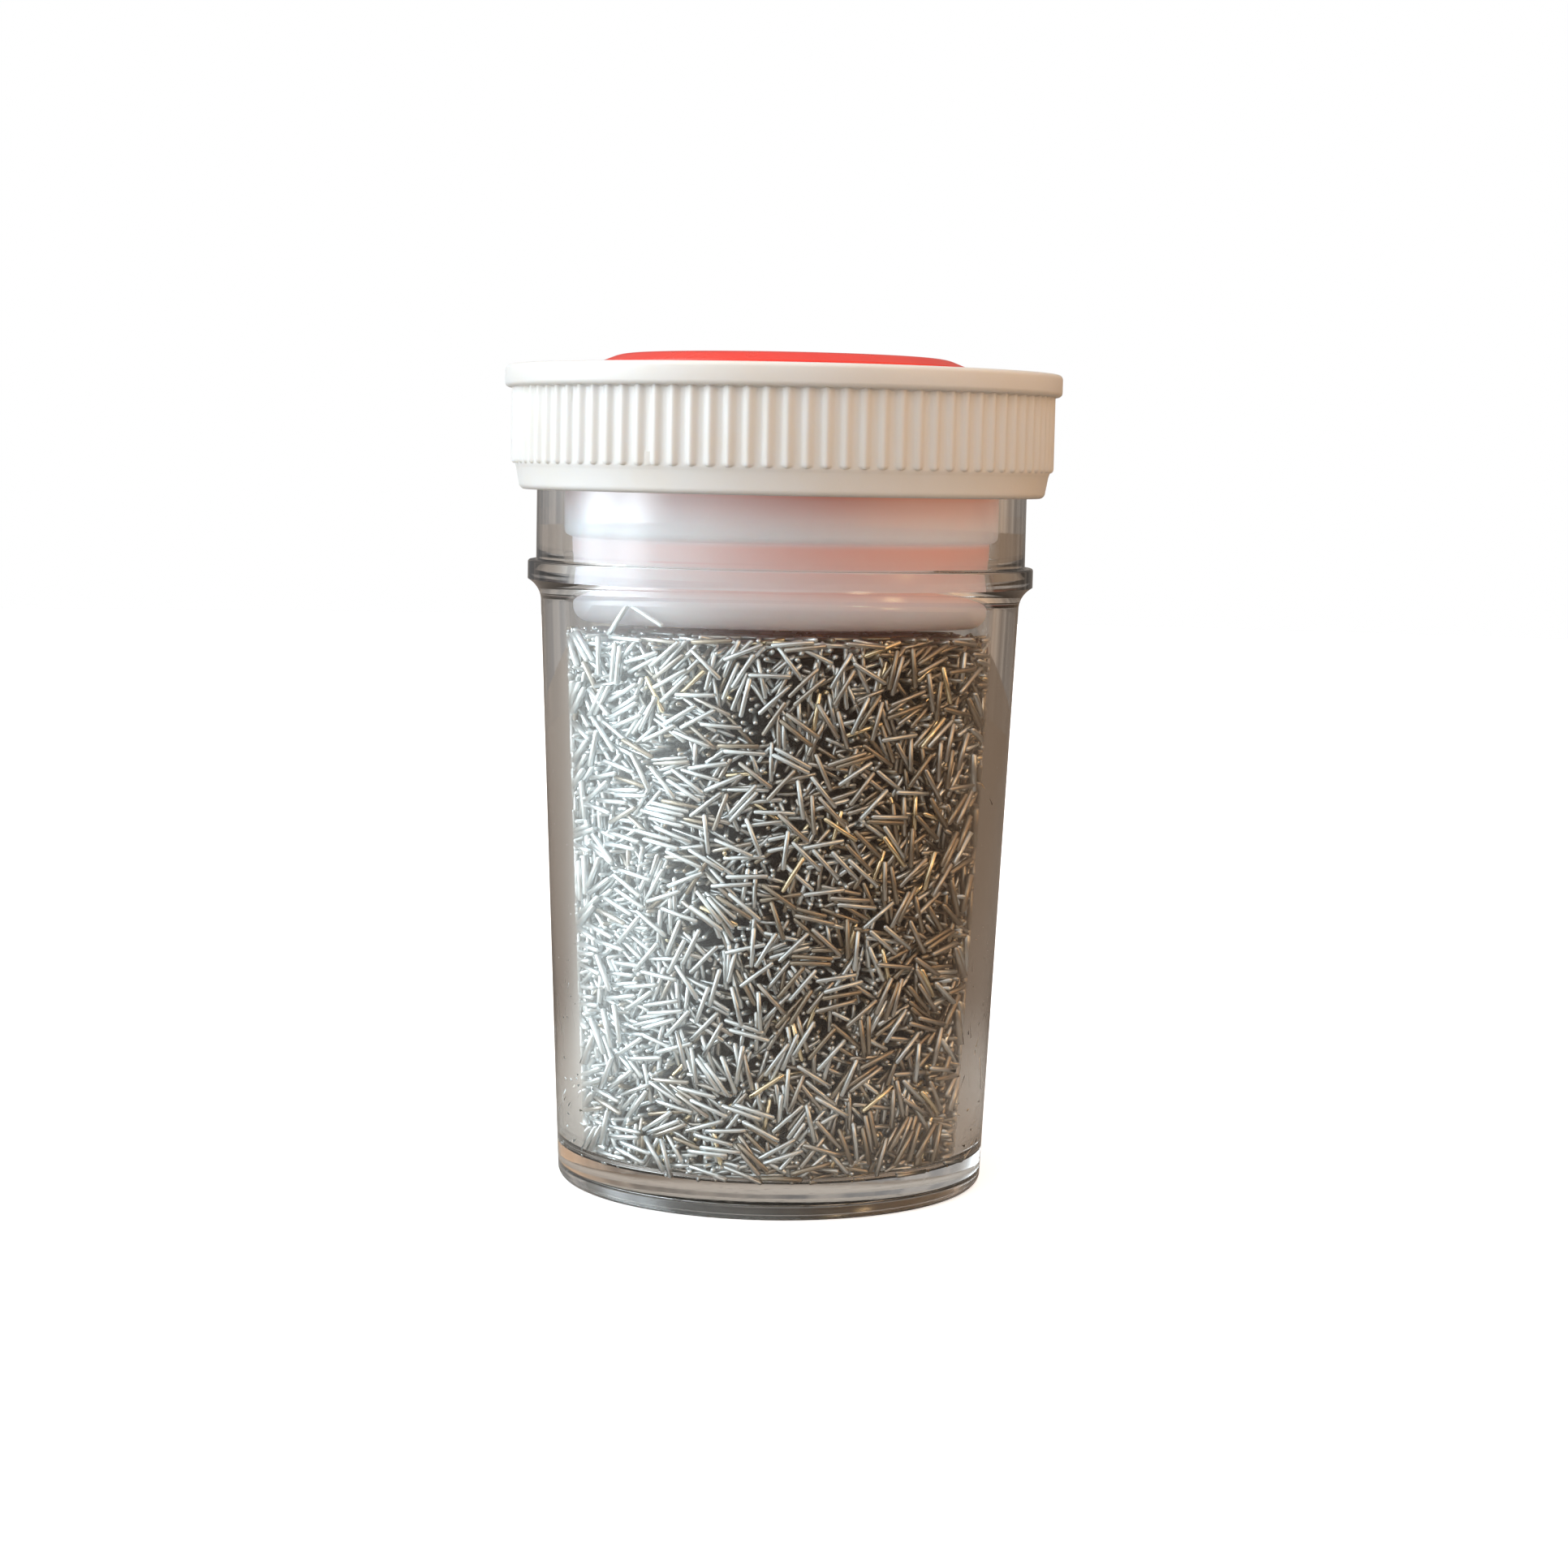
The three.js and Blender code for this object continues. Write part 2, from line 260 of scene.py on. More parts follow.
def makeCamera():
    data = bpy.data.cameras.new("frontCamera")
    data.lens = view["lens"]
    data.sensor_width = 36
    data.clip_start = 0.01
    camera = bpy.data.objects.new("frontCamera", data)
    camera.location = view["place"]
    camera.rotation_euler = (math.radians(90 - view["pitch"]), math.radians(view["roll"]), 0)
    bpy.context.scene.collection.objects.link(camera)
    bpy.context.scene.camera = camera


def facing(direction, towards):  # 1 towards a direction of the room, 0 from a right angle on
    settings = {"operation": "DOT_PRODUCT"}
    dot = direction.node("ShaderNodeVectorMath", settings, {0: direction, 1: tuple(towards.normalized())}, 1)
    return direction.maths("MAXIMUM", dot, 0.0)


def vectors(shade, operation, first, second=(0, 0, 0), output=0):
    return shade.node("ShaderNodeVectorMath", {"operation": operation}, {0: first, 1: second}, output)


def addGlow(light, strength, lobe):  # light of one colour, as strong as its lobe says
    glow = light.node("ShaderNodeVectorMath", {"operation": "SCALE"}, {0: strength, "Scale": lobe})
    return vectors(light, "ADD", light, glow)


def mirrored(shade):  # 1 for light that is mirrored at least once and never scattered
    scattered = shade.node("ShaderNodeLightPath", output=10)
    mirrors = shade.node("ShaderNodeLightPath", output=11)
    return shade.maths("MINIMUM", mirrors, 1.0) * shade.maths("LESS_THAN", scattered, 0.5)


def makeFloor():
    deselectAll()
    bpy.ops.mesh.primitive_circle_add(vertices=128, radius=room["floorRadius"], fill_type="NGON")
    floor = bpy.context.object
    floor.name = "floor"
    material = bpy.data.materials.new("floorPaper")
    material.use_nodes = True
    tree = material.node_tree
    tree.nodes.clear()
    shade = Shade(tree)
    paper = shade.node("ShaderNodeBsdfDiffuse", inputs={"Color": room["paper"]})
    glow = shade.node("ShaderNodeEmission", inputs={"Color": room["backdrop"], "Strength": room["paperGlow"]})
    lit = shade.node("ShaderNodeAddShader", inputs={0: paper, 1: glow})
    # painted light and shade on the table: lighter near the object and at the left, darker at the right
    side = shade.across().between(-room["tableSides"], room["tableSides"])
    far = side.mix(room["tableLitLeft"], room["tableShadedRight"])
    distance = vectors(shade, "LENGTH", shade.place(), output=1)
    near = distance.between(*room["tableFades"]).mix(room["tableLitNear"], far)
    plain = shade.node("ShaderNodeBsdfDiffuse", inputs={"Color": near})
    shine = facing(vectors(shade, "NORMALIZE", shade.place()), room["shineFrom"]) ** room["shineSharpness"]
    shine = shine * distance.between(*room["shineFades"]) * mirrored(shade) * room["shineTable"]
    bright = shade.node("ShaderNodeEmission", inputs={"Color": room["shine"], "Strength": shine})
    table = shade.node("ShaderNodeAddShader", inputs={0: plain, 1: bright})
    seen = shade.node("ShaderNodeLightPath")
    mixed = shade.node("ShaderNodeMixShader", inputs={0: seen, 1: table, 2: lit})
    shade.node("ShaderNodeOutputMaterial", inputs={0: mixed})
    floor.data.materials.append(material)


def makeLight():
    world = bpy.data.worlds.new("softRoom")
    world.use_nodes = True
    bpy.context.scene.world = world
    world.node_tree.nodes.clear()
    shade = Shade(world.node_tree)
    direction = shade.node("ShaderNodeTexCoord")
    level = vectors(shade, "NORMALIZE", vectors(shade, "MULTIPLY", direction, (1, 1, 0)))
    streaks = {"Vector": level, "Scale": room["streaks"], "Detail": 3.0}
    uprights = shade.node("ShaderNodeTexNoise", inputs=streaks)
    behind = room["streaksFront"] + (1 - room["streaksFront"]) * facing(level, Vector((0, 1, 0)))
    light = (uprights.between(*room["streakEdges"]) * behind).mix(room["walls"], room["wallsShaded"])
    for towards, sharpness, roundSharpness, strength in room["glows"]:
        lobe = facing(direction, Vector(towards)) ** sharpness
        if roundSharpness:  # an upright strip of light
            lobe = lobe * facing(level, Vector((*towards[:2], 0))) ** roundSharpness
        light = addGlow(light, strength, lobe)
    shine = facing(direction, room["shineFrom"]) ** room["shineSharpness"]
    light = addGlow(light, room["shine"][:3], shine * mirrored(shade) * room["shineRoom"])
    soft = shade.node("ShaderNodeBackground", inputs={"Color": light})
    white = shade.node("ShaderNodeBackground", inputs={"Color": room["backdrop"]})
    seen = shade.node("ShaderNodeLightPath")
    mixed = shade.node("ShaderNodeMixShader", inputs={0: seen, 1: soft, 2: white})
    shade.node("ShaderNodeOutputWorld", inputs={0: mixed})
    bpy.context.scene.view_settings.view_transform = "Standard"


makeCamera()
makeFloor()
makeLight()
print("camera, floor and light done")


# Threads, shared by the jar and the cap

thread = {
    "starts": 3,
    "lead": 12.0,  # rise in one turn
    "jarCrest": 32.1,
    "capCrest": 31.35,
    "rootWidth": 1.6,
    "crestWidth": 0.8,
    "low": 89.8,
    "sweep": 220,  # degrees
    "fade": 14,  # degrees over which an end sinks into the wall
    "bury": 0.35,
    "sink": 1.08,  # how deep an end sinks, in ridge heights
    "steps": 66,
    "firstStart": 1.7,
}


def threadRidge(wallR, crestR, low, start):
    rootR = wallR + math.copysign(thread["bury"], wallR - crestR)
    deselectAll()
    bpy.ops.mesh.primitive_plane_add(size=1, rotation=(math.pi / 2, 0, 0))
    ridge = bpy.context.object
    bpy.ops.object.transform_apply(location=False, rotation=True, scale=False)
    half = {True: thread["rootWidth"] / 2, False: thread["crestWidth"] / 2}
    for v in ridge.data.vertices:
        atRoot = v.co.x < 0
        v.co = ((rootR if atRoot else crestR) * mm, 0, math.copysign(half[atRoot], v.co.z) * mm)
    bpy.ops.object.mode_set(mode="EDIT")
    bpy.ops.mesh.select_all(action="SELECT")
    sunk = (wallR - crestR) / crestR * thread["sink"]
    size = 1 + sunk
    bpy.ops.transform.resize(value=(size, size, 1), center_override=(0, 0, 0))
    stepAngle = thread["sweep"] / thread["steps"]
    for i in range(1, thread["steps"] + 1):
        toEnd = min(i, thread["steps"] - i) * stepAngle
        wanted = 1 + sunk * max(0, 1 - toEnd / thread["fade"])
        bpy.ops.mesh.extrude_region_move(
            TRANSFORM_OT_translate={"value": (0, 0, thread["lead"] * mm * stepAngle / 360)})
        bpy.ops.transform.rotate(value=-math.radians(stepAngle), orient_axis="Z", center_override=(0, 0, 0))
        bpy.ops.transform.resize(value=(wanted / size, wanted / size, 1), center_override=(0, 0, 0))
        size = wanted
    bpy.ops.mesh.select_all(action="SELECT")
    bpy.ops.transform.rotate(value=-math.radians(start), orient_axis="Z", center_override=(0, 0, 0))
    bpy.ops.transform.translate(value=(0, 0, low * mm))
    bpy.ops.mesh.normals_make_consistent(inside=False)
    bpy.ops.object.mode_set(mode="OBJECT")
    return ridge


def threadRidges(wallR, crestR, low):
    starts = [thread["firstStart"] + 360 / thread["starts"] * i for i in range(thread["starts"])]
    return joined([threadRidge(wallR, crestR, low, start) for start in starts], "ridges")


# The clear jar

jar = {
    "steps": 192,
    "wall": 3.1,
    "lip": 99.8,
    "neckR": 31.0,
    "boreR": 27.8,  # straight part of the mouth
    "boreEnd": 80.0,
    "threadFoot": 88.6,  # an even ring under the thread
    "ringR": 32.05,
    "ringTop": 78.9,
    "ringEdge": 76.5,
    "shoulder": 74.0,
    "shoulderR": 30.35,
    "heelR": 27.2,
    "heelRound": 1.2,
    "footOuterR": 25.9,
    "footInnerR": 23.6,
    "recess": 1.7,
    "floor": 4.2,
    "floorRound": 1.5,
    "edge": 0.3,
    "footRound": 0.5,
    "tint": colour(0.985, 0.99, 0.985),
}


def bodyRadius(z):  # outside of the tapered body, in millimetres
    return jar["heelR"] + (jar["shoulderR"] - jar["heelR"]) * z / jar["shoulder"]


def clearLook(shade):
    waves = shade.noise(90, 1.0, (1, 1, 0.12))  # long, shallow flow marks up the wall
    scuffs = shade.noise(900, 3.0)
    worn = shade.height().between(9 * mm, 0) * scuffs.between(0.52, 0.72)
    return {
        "Roughness": 0.015 + 0.16 * worn,
        "Normal": shade.bump(waves, 0.05 * mm, 0.35),
    }


def makeJar():
    j, edge = jar, jar["edge"]
    profile = [
        (0, j["recess"]),
        (j["footInnerR"] * 0.5, j["recess"]),
        *arcPoints(j["footInnerR"] - j["footRound"], j["recess"] - j["footRound"], j["footRound"], 90, 0),
        *arcPoints(j["footInnerR"] + edge, edge, edge, 180, 270, 3),
        (j["footOuterR"], 0),
        *arcPoints(bodyRadius(j["heelRound"]) - j["heelRound"], j["heelRound"], j["heelRound"], -78, 0, 8),
        (bodyRadius(j["shoulder"] / 3), j["shoulder"] / 3),
        (bodyRadius(j["shoulder"] * 2 / 3), j["shoulder"] * 2 / 3),
        *curvePoints((j["shoulderR"], j["shoulder"]), (j["shoulderR"] + 0.2, j["shoulder"] + 1.6),
                     (j["ringR"], j["ringEdge"]), 8),
        *arcPoints(j["ringR"] - edge, j["ringTop"] - edge, edge, 0, 90, 4),
        (j["neckR"] + 0.2, j["ringTop"]),
        (j["neckR"], j["ringTop"] + 0.2),
        (j["neckR"], j["threadFoot"] - 0.3),
        (j["neckR"], j["threadFoot"]),
        *arcPoints(j["neckR"] - 2 * edge, j["lip"] - 2 * edge, 2 * edge, 0, 90, 4),
        *arcPoints(j["boreR"] + edge, j["lip"] - edge, edge, 90, 180, 3),
        (j["boreR"], j["threadFoot"]),
        (j["boreR"], j["threadFoot"] - 0.3),
        (j["boreR"], j["boreEnd"] + 0.4),
        (j["boreR"] - 0.02, j["boreEnd"]),
        (j["shoulderR"] - j["wall"], j["shoulder"]),
        (bodyRadius(j["shoulder"] / 2) - j["wall"], j["shoulder"] / 2),
        *arcPoints(bodyRadius(j["floor"]) - j["wall"] - j["floorRound"], j["floor"] + j["floorRound"],
                   j["floorRound"], 0, -90, 8),
        (j["footInnerR"] * 0.5, j["floor"]),
        (0, j["floor"]),
    ]
    piece = turnedPiece("jarShell", profile, j["steps"])
    unite(piece, threadRidges(j["neckR"], thread["jarCrest"], thread["low"]))
    smooth(piece, 32)
    clear = newMaterial("clearPlastic", {
        "Base Color": j["tint"],
        "Transmission Weight": 1.0,
        "IOR": 1.58,
    }, clearLook)
    finishPiece(piece, "jar", ["jar"], clear)


makeJar()


# The white cap

cap = {
    "top": 103.2,
    "plate": 2.0,
    "flangeR": 35.15,
    "flange": 100.4,
    "edgeRound": 0.6,
    "ribCrestR": 34.3,
    "ribDepth": 0.45,
    "ribWidth": 1.95,  # at its foot
    "ribTip": 0.55,  # length of its rounded lower end
    "ribBury": 0.25,  # how far its foot reaches into the band
    "ribPlay": 0.02,
    "ribSteps": 5,  # faces from its foot to its crest
    "ribs": 93,
    "ribLow": 90.9,
    "bandR": 33.7,
    "hemR": 33.3,
    "hem": 87.7,
    "hemRound": 0.8,
    "skirtR": 32.45,
    "skirtRound": 0.4,
    "step": 0.5,
    "mouthR": 22.0,
    "white": colour(0.82, 0.82, 0.81),
    "yellowed": colour(0.80, 0.77, 0.71),
}


def makeRib():  # one soft bead of the grip, its foot sunk in the band
    deselectAll()
    footR, half = (cap["ribCrestR"] - cap["ribDepth"] - cap["ribPlay"]) * mm, cap["ribWidth"] / 2 * mm
    buriedR, shrinkR = footR - cap["ribBury"] * mm, footR - cap["ribPlay"] * mm
    low, high = (cap["ribLow"] + cap["ribTip"]) * mm, (cap["flange"] + cap["edgeRound"] / 2) * mm
    across = [half * (i / cap["ribSteps"] - 1) for i in range(2 * cap["ribSteps"] + 1)]
    outline = [Vector((footR + cap["ribDepth"] * mm * (0.5 + 0.5 * math.cos(math.pi * t / half)), t, low))
               for t in across]
    outline = [Vector((buriedR, -half, low)), *outline, Vector((buriedR, half, low))]
    bpy.ops.mesh.primitive_plane_add(size=mm)
    rib = bpy.context.object
    bpy.ops.object.mode_set(mode="EDIT")
    bpy.ops.mesh.select_mode(type="VERT")
    bpy.ops.mesh.select_all(action="SELECT")
    bpy.ops.mesh.merge(type="CENTER")
    bpy.ops.transform.translate(value=outline[0])
    for here, there in zip(outline, outline[1:]):
        bpy.ops.mesh.extrude_region_move(TRANSFORM_OT_translate={"value": there - here})
    bpy.ops.mesh.select_all(action="SELECT")
    bpy.ops.mesh.edge_face_add()
    bpy.ops.mesh.extrude_region_move(TRANSFORM_OT_translate={"value": (0, 0, high - low)})
    bpy.ops.mesh.select_all(action="DESELECT")
    bpy.ops.object.mode_set(mode="OBJECT")
    for vertex in rib.data.vertices:
        vertex.select = vertex.co.z < low + 0.01 * mm
    bpy.ops.object.mode_set(mode="EDIT")
    for angle, nextAngle in ((0, 30), (30, 55), (55, 75)):  # rounded lower end
        drop = math.sin(math.radians(nextAngle)) - math.sin(math.radians(angle))
        shrink = math.cos(math.radians(nextAngle)) / math.cos(math.radians(angle))
        bpy.ops.mesh.extrude_region_move(TRANSFORM_OT_translate={"value": (0, 0, -drop * cap["ribTip"] * mm)})
        bpy.ops.transform.resize(value=(shrink, shrink, 1), center_override=(shrinkR, 0, 0))
    bpy.ops.mesh.select_all(action="SELECT")
    bpy.ops.mesh.normals_make_consistent(inside=False)
    bpy.ops.object.mode_set(mode="OBJECT")
    return rib


def copiesAround(piece, count):
    copies = [piece]
    for i in range(1, count):
        other = piece.copy()
        other.data = piece.data.copy()
        other.matrix_world = Matrix.Rotation(2 * math.pi * i / count, 4, "Z") @ piece.matrix_world
        bpy.context.scene.collection.objects.link(other)
        copies.append(other)
    return copies


def whiteLook(shade):
    cloud = shade.noise(120, 3.0)
    grain = shade.noise(2600, 2.0)
    return {
        "Base Color": (cloud.between(0.35, 0.75) * 0.5).mix(cap["white"], cap["yellowed"]),
        "Roughness": 0.30 + 0.16 * cloud,
        "Normal": shade.bump(grain, 0.02 * mm, 0.5),
    }


def makeCap():
    c = cap
    plateLow = c["top"] - c["plate"]
    valleyR = c["ribCrestR"] - c["ribDepth"]
    profile = [
        (c["mouthR"], plateLow),
        *arcPoints(c["skirtR"] - c["skirtRound"], plateLow - c["skirtRound"], c["skirtRound"], 90, 0, 4),
        (c["skirtR"], c["hem"] + 0.6),
        (c["skirtR"] + 0.05, c["hem"]),
        *arcPoints(c["hemR"] - c["hemRound"], c["hem"] + c["hemRound"], c["hemRound"], -75, 0, 6),
        (c["bandR"] - 0.05, c["ribLow"] - c["step"]),
        (c["bandR"], c["ribLow"] - c["step"] + 0.15),
        (valleyR - 0.03, c["ribLow"] - 0.05),
        (valleyR, c["ribLow"] + 0.1),
        (valleyR, c["flange"] - 0.25),
        (valleyR + 0.25, c["flange"]),
        *arcPoints(c["flangeR"] - c["edgeRound"], c["flange"] + c["edgeRound"], c["edgeRound"], -90, 0, 6),
        *arcPoints(c["flangeR"] - c["edgeRound"], c["top"] - c["edgeRound"], c["edgeRound"], 0, 90, 6),
        (c["mouthR"] + 0.3, c["top"]),
        (c["mouthR"], c["top"] - 0.3),
        (c["mouthR"], plateLow),
    ]
    piece = turnedPiece("capRing", profile, 2 * c["ribs"])
    unite(piece, joined(copiesAround(makeRib(), c["ribs"]), "beads"))
    halfPitch = thread["lead"] / thread["starts"] / 2
    unite(piece, threadRidges(c["skirtR"], thread["capCrest"], thread["low"] + halfPitch))
    smooth(piece, 32)
    white = newMaterial("whitePlastic", {
        "IOR": 1.5,
        "Subsurface Weight": 0.35,
        "Subsurface Radius": (1.0, 0.85, 0.7),
        "Subsurface Scale": 1.0 * mm,
    }, whiteLook)
    finishPiece(piece, "cap", ["cap_ring"], white)


makeCap()


# The red disc

disc = {
    "steps": 144,
    "edgeR": 23.3,
    "crownR": 20.9,
    "rise": 1.7,
    "dome": 0.2,
    "lipRise": 0.6,
    "rest": 0.05,
    "spigotR": 21.7,
    "barbR": 22.3,
    "barbLow": 0.35,
    "barbPlay": 0.15,
    "reach": 0.7,
    "shell": 1.2,
    "insideRound": 0.6,
    "red": colour(0.90, 0.055, 0.035),
    "redDeep": colour(0.72, 0.03, 0.03),
}


def redLook(shade):
    cloud = shade.noise(160, 2.0)
    grain = shade.noise(1800, 2.0)
    return {
        "Base Color": (cloud.between(0.3, 0.8) * 0.3).mix(disc["red"], disc["redDeep"]),
        "Roughness": 0.22 + 0.14 * cloud,
        "Normal": shade.bump(grain, 0.02 * mm, 0.15),
    }


def makeDisc():
    d = disc
    rim, plateLow, crown = cap["top"] + d["rest"], cap["top"] - cap["plate"], cap["top"] + d["rise"]
    insideR, insideTop, insideRound = d["spigotR"] - d["shell"], crown - d["shell"], d["insideRound"]
    profile = [
        (0, insideTop),
        *arcPoints(insideR - insideRound, insideTop - insideRound, insideRound, 90, 0, 4),
        (insideR, plateLow - d["reach"]),
        (d["spigotR"], plateLow - d["reach"]),
        (d["barbR"], plateLow - d["barbLow"]),
        (d["spigotR"], plateLow - d["barbPlay"]),
        (d["spigotR"], rim),
        (d["edgeR"] - 0.1, rim),
        (d["edgeR"], rim + 0.1),
        (d["edgeR"], rim + d["lipRise"] - 0.15),
        (d["edgeR"] - 0.1, rim + d["lipRise"]),
        *curvePoints((d["crownR"] + 0.7, crown - 0.42), (d["crownR"] - 0.1, crown - 0.06),
                     (d["crownR"] - 1.4, crown), 6),
        (d["crownR"] * 0.75, crown + d["dome"] * 0.45),
        (d["crownR"] * 0.5, crown + d["dome"] * 0.75),
        (d["crownR"] * 0.25, crown + d["dome"] * 0.94),
        (0, crown + d["dome"]),
    ]
    piece = turnedPiece("topDisc", profile, d["steps"])
    smooth(piece, 30)
    red = newMaterial("redPlastic", {
        "IOR": 1.5,
        "Subsurface Weight": 0.3,
        "Subsurface Radius": (1.0, 0.25, 0.15),
        "Subsurface Scale": 1.5 * mm,
    }, redLook)
    finishPiece(piece, "cap", ["red_disc"], red)


makeDisc()


# The milky plug

plug = {
    "steps": 144,
    "top": 101.0,
    "flange": 1.0,
    "flangeR": 30.8,
    "landR": 27.5,
    "land": 82.4,
    "stemR": 26.5,
    "stemLowR": 26.25,
    "floor": 71.8,
    "shell": 1.4,
    "cornerR": 2.0,
    "innerCornerR": 1.0,
    "step": 1.0,
    "milk": colour(0.86, 0.87, 0.91),
    # painted red light: the glow of the red disc under the skirt and under the step
    "paintedRedLight": colour(0.94, 0.33, 0.24),
    # painted shade: darker, bluer milk towards the left
    "milkShadedLeft": colour(0.72, 0.77, 0.84),
    # a cloudy stain, made stronger towards the right as painted warm light
    "stainAndWarmLight": colour(0.90, 0.66, 0.60),
    "shadow": colour(0.25, 0.12, 0.10),
    "glow": 0.19,  # painted glow: red light from the disc, given to the plastic as emission
    "redLightUpper": (82.5, 88.5),  # heights between which the painted red light and the painted shadow come in
    "redLightTop": (86.9, 88.3),
    "redLightLower": (72.5, 82.0),
    "redLightEnds": (81.2, 82.4),
    "shadowEnds": (71.8, 76.0),
    "redLightSides": (-22, 14),  # from the pale left to the warm right, as painted light and shade
    "milkShadeSides": (-24, -6),
}


def milkyLook(shade):
    height, side = shade.height(), shade.across()
    cloud = shade.noise(60, 2.0)
    grain = shade.noise(1500, 2.0)

    def zone(measure, name):
        low, high = plug[name]
        return measure.between(low * mm, high * mm)

    # painted red light from the disc, just under the skirt and just under the step
    redLightUnderSkirt = zone(height, "redLightUpper") * 0.85 + zone(height, "redLightTop") * 0.4
    redLightUnderStep = (1 - zone(height, "redLightEnds")) * zone(height, "redLightLower") * 0.75
    # painted side light: the red light and the stain grow from the pale left to the warm right
    shaded = 0.3 + 0.7 * zone(side, "redLightSides")
    # painted shade: darker, bluer milk towards the left
    milk = zone(side, "milkShadeSides").mix(plug["milkShadedLeft"], plug["milk"])
    withRedLight = ((redLightUnderSkirt + redLightUnderStep) * shaded).mix(milk, plug["paintedRedLight"])
    # a cloudy stain, stronger towards the right as painted warm light
    stainedAndLit = (cloud.between(0.3, 0.8) * 0.3 * shaded).mix(withRedLight, plug["stainAndWarmLight"])
    return {
        "Base Color": stainedAndLit,
        # the glow is painted light; towards the bottom it has a painted shadow
        "Emission Color": zone(height, "shadowEnds").mix(plug["shadow"], stainedAndLit),
        "Roughness": 0.32 + 0.14 * cloud,
        "Normal": shade.bump(grain, 0.02 * mm, 0.3),
    }


def makePlug():
    p = plug
    flangeLow = p["top"] - p["flange"]
    stemIn, landIn = p["stemLowR"] - p["shell"], p["landR"] - p["shell"]
    stepLow, stepHigh = p["land"] - p["step"] / 2, p["land"] + p["step"] / 2
    profile = [
        (0, p["floor"]),
        *arcPoints(p["stemLowR"] - p["cornerR"], p["floor"] + p["cornerR"], p["cornerR"], -90, 0, 8),
        (p["stemR"] - 0.01, stepLow - 0.15),
        *curvePoints((p["stemR"], stepLow), (p["landR"], stepLow + 0.2), (p["landR"], stepHigh), 5),
        (p["landR"], flangeLow - 0.2),
        (p["landR"] + 0.2, flangeLow),
        (p["flangeR"] - 0.2, flangeLow),
        (p["flangeR"], flangeLow + 0.2),
        (p["flangeR"], p["top"] - 0.2),
        (p["flangeR"] - 0.2, p["top"]),
        (landIn + 0.3, p["top"]),
        (landIn, p["top"] - 0.3),
        (landIn, stepHigh),
        (p["stemR"] - p["shell"], stepLow),
        *arcPoints(stemIn - p["innerCornerR"], p["floor"] + p["shell"] + p["innerCornerR"], p["innerCornerR"],
                   0, -90, 5),
        (0, p["floor"] + p["shell"]),
    ]
    piece = turnedPiece("plugCup", profile, p["steps"])
    smooth(piece, 30)
    milky = newMaterial("milkyPlastic", {
        "IOR": 1.5,
        "Subsurface Weight": 0.35,
        "Subsurface Radius": (1.0, 0.6, 0.5),
        "Subsurface Scale": 1.5 * mm,
        "Emission Strength": plug["glow"],
    }, milkyLook)
    finishPiece(piece, "plug", ["plug_cup"], milky)


makePlug()


# The steel pins

pin = {
    "radius": 0.3,
    "length": 5.0,
    "sides": 8,
    "round": 0.19,  # rounded ends
}
fill = {
    "seed": 5,
    "layers": 5,  # layers of loose pins round the core
    "layerStep": 0.54,
    "top": 71.1,
    "tries": 6.0,  # tries for each pin that a layer could hold side by side
    "groups": [1, 2, 3, 4, 5, 6],  # pins that lie side by side
    "groupShares": [0.20, 0.25, 0.22, 0.16, 0.10, 0.07],
    "spacing": 2.1,  # between pins side by side, in pin radii
    "slip": 0.7,  # how far a pin of a group slides along, and how far it leans from the others
    "fan": 0.08,
    "looseness": 0.06,  # how unevenly deep and how tilted the pins of a layer lie
    "tilt": 0.04,
    "endOn": 0.13,  # pins that point inwards, for each square millimetre
    "endTilt": (1.15, 0.4),  # their least tilt and its spread, and the same for their depth
    "endDepth": (0.1, 0.6),
    "endHalf": 0.2,  # half the place that an end takes
    "cell": 0.1,  # of the map of taken places
    "settleSteps": 44,
    "quickSteps": 30,
    "beads": 10,  # spheres that stand for a pin while it settles
    "pieceSize": 3200,  # pins in one piece
    "litAndShadedSteels": [  # colour, roughness, metal, shares at the left, in the middle and at the right; lit and shaded copies of one steel, with painted light at the left, painted shade at the right and painted golden glints
        (colour(0.92, 0.98, 1.0), 0.34, 0.9, (0.74, 0.30, 0.03)),
        (colour(0.76, 0.80, 0.81), 0.29, 1.0, (0.20, 0.34, 0.15)),
        (colour(0.60, 0.57, 0.52), 0.32, 1.0, (0.05, 0.22, 0.36)),
        (colour(0.45, 0.39, 0.31), 0.36, 1.0, (0.01, 0.10, 0.40)),
        # painted glints: warm light on the steel, given to a few pins
        (colour(0.95, 0.82, 0.56), 0.20, 1.0, (0.00, 0.04, 0.06)),
    ],
    "sideways": 18.0,  # where the shares of the two sides hold
    # painted shade: the pins deep inside are dark, lighter towards the left as painted light, with painted glints
    "core": colour(0.02, 0.02, 0.019),
    "coreLitLeft": colour(0.34, 0.36, 0.37),
    "coreGlint": colour(0.12, 0.12, 0.12),
    "coreSides": (-24, -4),
    "corePlay": 0.3,  # between the core and the innermost layer
}


def boreRadius(z):
    return bodyRadius(z) - jar["wall"]


def makePin():  # lies along Z at the origin
    deselectAll()
    radius, length = pin["radius"] * mm, pin["length"] * mm
    bpy.ops.mesh.primitive_cylinder_add(vertices=pin["sides"], radius=radius, depth=length)
    master = bpy.context.object
    master.name = "pinMaster"
    bpy.ops.object.mode_set(mode="EDIT")
    bpy.ops.mesh.select_mode(type="EDGE")
    bpy.ops.mesh.select_all(action="DESELECT")
    bpy.ops.object.mode_set(mode="OBJECT")
    for edge in master.data.edges:
        a, b = (master.data.vertices[i].co for i in edge.vertices)
        edge.select = a.z * b.z > 0
    bpy.ops.object.mode_set(mode="EDIT")
    bpy.ops.mesh.bevel(offset=pin["round"] * mm, segments=1, affect="EDGES")
    bpy.ops.object.mode_set(mode="OBJECT")
    smooth(master, 60)
    return master


